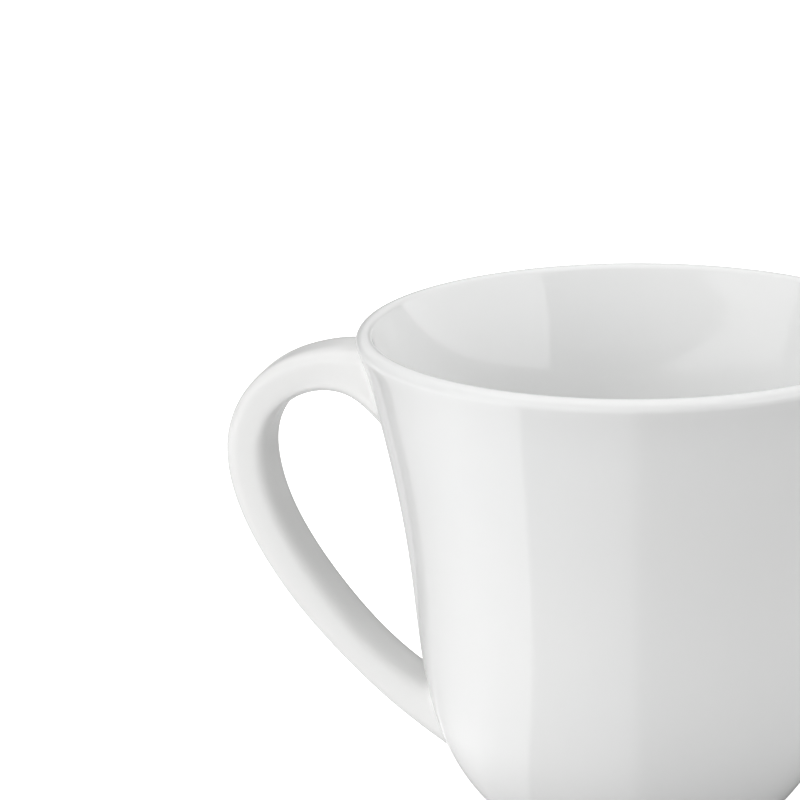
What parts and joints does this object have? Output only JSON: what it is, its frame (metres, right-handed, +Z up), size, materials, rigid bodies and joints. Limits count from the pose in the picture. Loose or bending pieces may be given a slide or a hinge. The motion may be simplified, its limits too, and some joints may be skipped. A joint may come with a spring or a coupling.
{
  "type": "ceramic mug",
  "caption": "Round porcelain mug with a full belly, a flared rolled lip, an ear-shaped strap handle and a bare foot ring, for holding and drinking hot or cold drinks.",
  "frame": {"origin": "centre of the foot ring on the plane that the mug stands on, on the axis of the round body", "axes": "+Z up along the axis of the body; -X towards the handle, whose middle plane is the XZ plane; +Y completes the right-handed set"},
  "size_m": [0.1128, 0.09, 0.083],
  "materials": {
    "glazed_porcelain": "gloss",
    "bare_porcelain": "matte"
  },
  "bodies": {
    "root": {"cup_body": "glazed_porcelain", "handle": "glazed_porcelain", "upper_slip_joint": "glazed_porcelain", "lower_slip_joint": "glazed_porcelain", "foot_ring": "bare_porcelain"}
  },
  "joints": []
}
